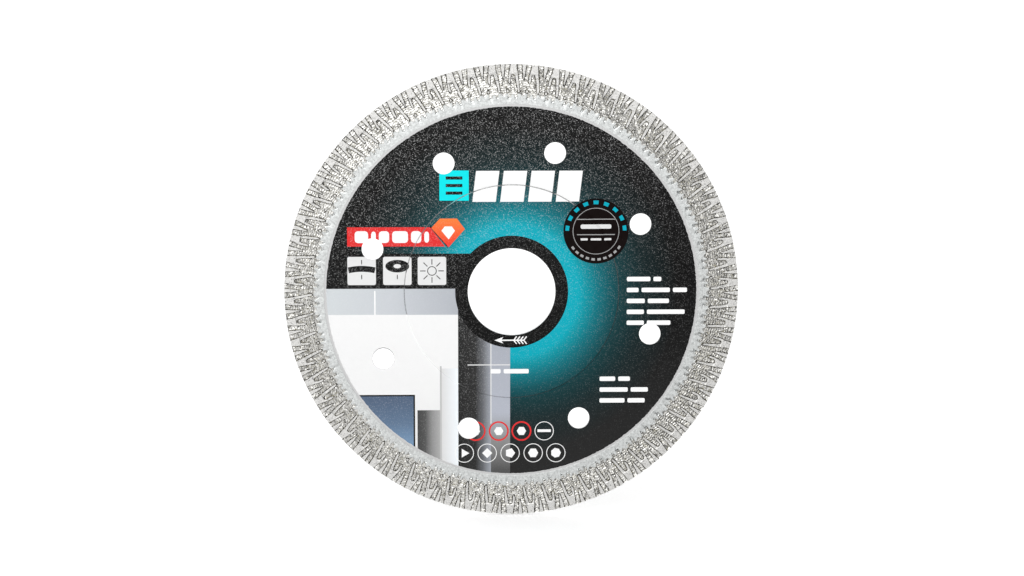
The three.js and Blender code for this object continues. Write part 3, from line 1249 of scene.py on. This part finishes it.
# How bright the room is along X, from left to right, then behind the blade, then along Z, from below.
ROOM_ACROSS = (
    (-1, 0.3), (-0.65, 0.82), (-0.3, 0.98), (-0.05, 1), (0.1, 0.98),
    (0.2, 0.96), (0.35, 0.03), (0.62, 0.03), (0.76, 0.42), (1, 0.38),
)
ROOM_BEHIND = 0.8
ROOM_CLIMB = ((-0.6, 0.45), (-0.25, 0.36), (0, 0.65), (0.42, 1), (0.65, 0.7), (1, 0.46))
ROOM_STRENGTH = 1.85
# In degrees and metres from the middle of the blade.
CAMERA_AZIMUTH = -1.45
CAMERA_ELEVATION = 7.83
CAMERA_DISTANCE = 0.628
LAMP_PLACE = (-0.5, -0.9, 1.1)
LAMP_SIZE = 1.0
LAMP_POWER = 3
# In millimetres: how far the floor reaches, and how far it lies below the blade.
FLOOR_REACH = 12000
FLOOR_GAP = 0.2
FLOOR_GLOW = 0.3


def make_camera():
    """The photograph's viewing angle: a little above and to the left of the blade's axis."""
    azimuth, elevation = math.radians(CAMERA_AZIMUTH), math.radians(CAMERA_ELEVATION)
    view = bpy.data.cameras.new("camera")
    camera = placed("camera", view)
    level = math.cos(elevation)
    away = Vector((math.sin(azimuth) * level, -math.cos(azimuth) * level, math.sin(elevation)))
    camera.location = away * CAMERA_DISTANCE
    camera.rotation_euler = away.to_track_quat("Z", "Y").to_euler()
    view.lens = 87.1
    view.sensor_width = 36
    view.shift_x = 0.0004
    view.shift_y = 0.0033
    view.clip_start = 0.01
    view.clip_end = 50
    bpy.context.scene.camera = camera


def make_lamp():
    """A large soft lamp at the blade's upper left."""
    data = bpy.data.lights.new("key", "AREA")
    data.size = LAMP_SIZE
    data.energy = LAMP_POWER
    lamp = placed("key", data)
    lamp.location = LAMP_PLACE
    lamp.rotation_euler = Vector(LAMP_PLACE).to_track_quat("Z", "Y").to_euler()


def make_world():
    """A white room with dark cloth at its front right. The camera itself sees white all round."""
    world = bpy.data.worlds.new("studio")
    world.use_nodes = True
    room = Nodes(world.node_tree)
    direction = room.node("SeparateXYZ", {0: room.node("TexCoord").outputs["Generated"]})
    across = room.ramp(direction.outputs["X"], shares(ROOM_ACROSS))
    behind = room.ramp(direction.outputs["Y"], shares(((-0.1, 0.0), (0.1, 1.0))))
    across = room.mix(behind, across, (ROOM_BEHIND, ROOM_BEHIND, ROOM_BEHIND, 1.0))
    climb = room.ramp(direction.outputs["Z"], shares(ROOM_CLIMB))
    lit = room.node("VectorMath", {0: across, 1: climb}, operation="MULTIPLY").outputs[0]
    lit = room.node("VectorMath", {0: lit, "Scale": ROOM_STRENGTH}, operation="SCALE").outputs[0]
    seen = room.node("LightPath").outputs["Is Camera Ray"]
    room.put(world.node_tree.nodes["Background"].inputs["Color"], room.mix(seen, lit, grey(255)))
    bpy.context.scene.world = world


def make_floor():
    """A pale floor that glows a little, so that it reads as white. The metal doesn't mirror it."""
    pale = Surface("floor_pale", Roughness=0.9)
    pale.set("Base Color", grey(250))
    pale.set("Emission Color", grey(255))
    pale.set("Emission Strength", FLOOR_GLOW)
    height = cad_box[0][2] / MM - FLOOR_GAP
    corners = [(x, y, height) for x, y in box(-FLOOR_REACH, -FLOOR_REACH, FLOOR_REACH, FLOOR_REACH)]
    floor = new_piece("floor", corners, [(0, 1, 2, 3)], [pale.material])
    floor.visible_glossy = False


# ---- Everything together ----

bpy.context.scene.view_settings.view_transform = "Standard"
make_camera()
make_floor()
make_lamp()
make_world()
core = make_core()
front_print, back_print = make_films()
sticker = make_sticker()
diamond_ring, foot_ring, grit = make_rim()
for piece, slot in (
    (core, "core_steel"),
    (front_print, "printed_lacquer"),
    (back_print, "printed_lacquer"),
    (sticker, "sticker_film"),
    (diamond_ring, "diamond_metal"),
    (foot_ring, "foot_metal"),
    (grit, "diamond_metal"),
):
    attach(piece, "root")
flange_steel = steel("flange_steel", 206)
for node in ("front_flange_plate", "back_flange_plate"):
    for holder in bpy.data.objects[node].material_slots:
        holder.material = flange_steel
